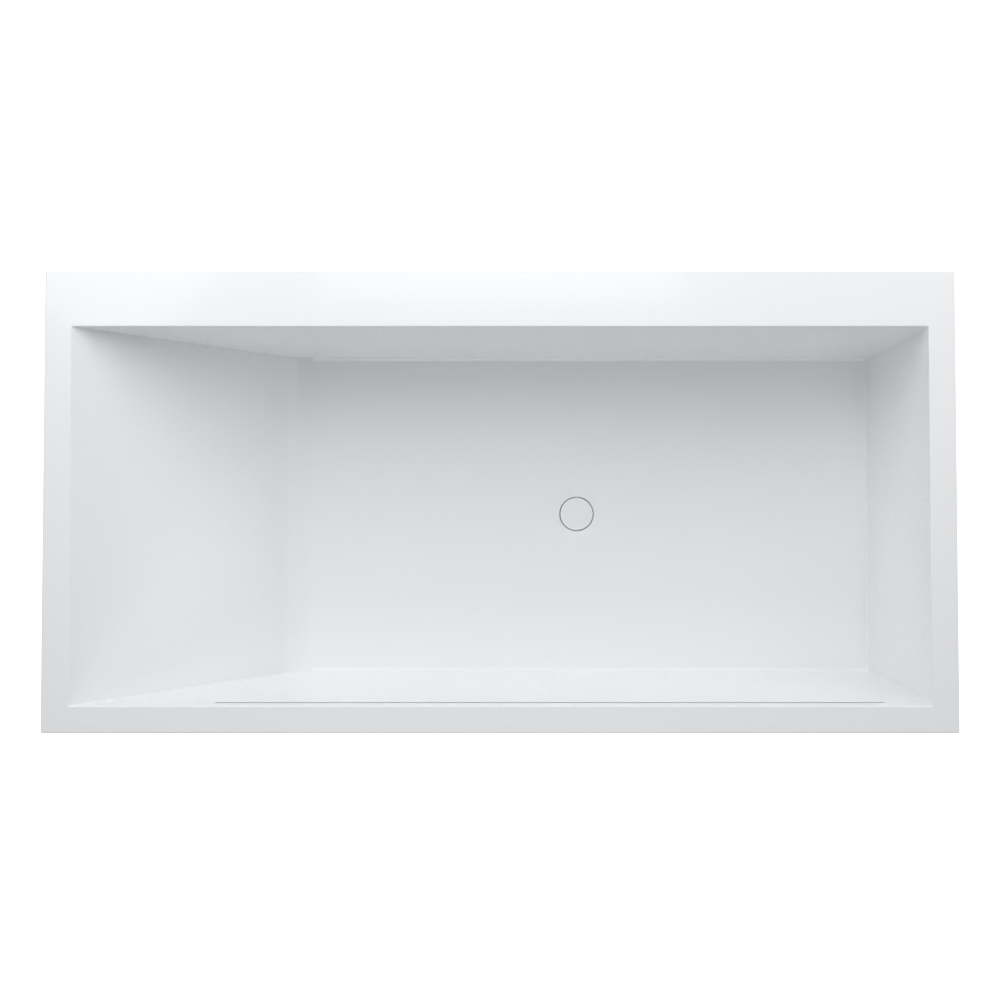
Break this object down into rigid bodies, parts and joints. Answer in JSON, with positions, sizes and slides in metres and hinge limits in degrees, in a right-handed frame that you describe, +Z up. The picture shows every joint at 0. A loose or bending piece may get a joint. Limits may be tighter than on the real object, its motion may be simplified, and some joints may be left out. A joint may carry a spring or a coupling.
{
  "type": "freestanding bathtub",
  "caption": "Rectangular freestanding cast-stone bathtub with a sloping backrest, a wide tap deck, a slot overflow, a sprung plug and levelling feet.",
  "frame": {"origin": "on the standing surface, under the middle of the tub's outline", "axes": "+X to the foot end, along the length; +Y to the tap deck; +Z up; the slot overflow is on the -Y side"},
  "size_m": [1.7, 0.86, 0.58],
  "materials": {
    "cast_stone_white": "satin",
    "plug_white": "satin",
    "waste_chrome": "polished",
    "clip_steel": "satin",
    "zinc_plate": "satin",
    "frame_grey": "matte",
    "rubber_black": "matte",
    "moulded_plastic_white": "satin",
    "hose_grey": "satin"
  },
  "bodies": {
    "frame_and_basin": {"basin_shell": "cast_stone_white", "outer_skirt": "cast_stone_white", "overflow_channel": "moulded_plastic_white", "overflow_gasket": "rubber_black", "overflow_hose": "hose_grey", "hose_clip_top": "clip_steel", "hose_clip_bottom": "clip_steel", "rail_front": "frame_grey", "rail_back": "frame_grey", "waste_flange": "waste_chrome", "flange_gasket": "rubber_black", "body_gasket": "rubber_black", "waste_body": "moulded_plastic_white", "plug_guide": "moulded_plastic_white", "plug_spring": "clip_steel", "trap_nut": "moulded_plastic_white", "trap_washer": "rubber_black", "trap_lid": "moulded_plastic_white", "trap_gasket": "rubber_black", "trap_pot": "moulded_plastic_white", "outlet_nut": "moulded_plastic_white", "outlet_washer": "rubber_black", "outlet_pipe": "hose_grey", "cross_bar_head": "frame_grey", "bar_pad_head": "rubber_black", "bar_bolt_head_front": "zinc_plate", "bar_bolt_head_back": "zinc_plate", "cross_bar_middle": "frame_grey", "bar_pad_middle": "rubber_black", "bar_bolt_middle_front": "zinc_plate", "bar_bolt_middle_back": "zinc_plate", "cross_bar_foot": "frame_grey", "bar_pad_foot": "rubber_black", "bar_bolt_foot_front": "zinc_plate", "bar_bolt_foot_back": "zinc_plate", "skirt_screw_head_front": "zinc_plate", "skirt_screw_head_back": "zinc_plate", "skirt_screw_foot_front": "zinc_plate", "skirt_screw_foot_back": "zinc_plate", "foot_nut_head_front": "zinc_plate", "foot_nut_head_back": "zinc_plate", "foot_nut_foot_front": "zinc_plate", "foot_nut_foot_back": "zinc_plate"},
    "plug": {"plug_cover": "plug_white", "plug_stem": "waste_chrome", "plug_seal": "rubber_black"},
    "foot_pad_head_front": {"foot_pad_head_front": "rubber_black"},
    "foot_stud_head_front": {"foot_stud_head_front": "zinc_plate"},
    "foot_pad_head_back": {"foot_pad_head_back": "rubber_black"},
    "foot_stud_head_back": {"foot_stud_head_back": "zinc_plate"},
    "foot_pad_foot_front": {"foot_pad_foot_front": "rubber_black"},
    "foot_stud_foot_front": {"foot_stud_foot_front": "zinc_plate"},
    "foot_pad_foot_back": {"foot_pad_foot_back": "rubber_black"},
    "foot_stud_foot_back": {"foot_stud_foot_back": "zinc_plate"}
  },
  "joints": [
    {"name": "plug_lift", "type": "slide", "parent": "frame_and_basin", "child": "plug", "axis": [0, 0, 1], "range_m": [0, 0.009], "deforming": ["plug_spring"]},
    {"name": "foot_height_head_front", "type": "slide", "parent": "frame_and_basin", "child": "foot_pad_head_front", "axis": [0, 0, 1], "range_m": [-0.02, 0]},
    {"name": "foot_turn_head_front", "type": "hinge", "parent": "foot_pad_head_front", "child": "foot_stud_head_front", "pos_m": [-0.65, -0.25, 0.05], "axis": [0, 0, 1], "range_deg": [-4116, 0]},
    {"name": "foot_height_head_back", "type": "slide", "parent": "frame_and_basin", "child": "foot_pad_head_back", "axis": [0, 0, 1], "range_m": [-0.02, 0]},
    {"name": "foot_turn_head_back", "type": "hinge", "parent": "foot_pad_head_back", "child": "foot_stud_head_back", "pos_m": [-0.65, 0.25, 0.05], "axis": [0, 0, 1], "range_deg": [-4116, 0]},
    {"name": "foot_height_foot_front", "type": "slide", "parent": "frame_and_basin", "child": "foot_pad_foot_front", "axis": [0, 0, 1], "range_m": [-0.02, 0]},
    {"name": "foot_turn_foot_front", "type": "hinge", "parent": "foot_pad_foot_front", "child": "foot_stud_foot_front", "pos_m": [0.65, -0.25, 0.05], "axis": [0, 0, 1], "range_deg": [-4116, 0]},
    {"name": "foot_height_foot_back", "type": "slide", "parent": "frame_and_basin", "child": "foot_pad_foot_back", "axis": [0, 0, 1], "range_m": [-0.02, 0]},
    {"name": "foot_turn_foot_back", "type": "hinge", "parent": "foot_pad_foot_back", "child": "foot_stud_foot_back", "pos_m": [0.65, 0.25, 0.05], "axis": [0, 0, 1], "range_deg": [-4116, 0]}
  ],
  "couplings": [
    {"joint": "foot_turn_head_front", "follows": "foot_height_head_front", "rad_per_m": 3590.4},
    {"joint": "foot_turn_head_back", "follows": "foot_height_head_back", "rad_per_m": 3590.4},
    {"joint": "foot_turn_foot_front", "follows": "foot_height_foot_front", "rad_per_m": 3590.4},
    {"joint": "foot_turn_foot_back", "follows": "foot_height_foot_back", "rad_per_m": 3590.4}
  ]
}
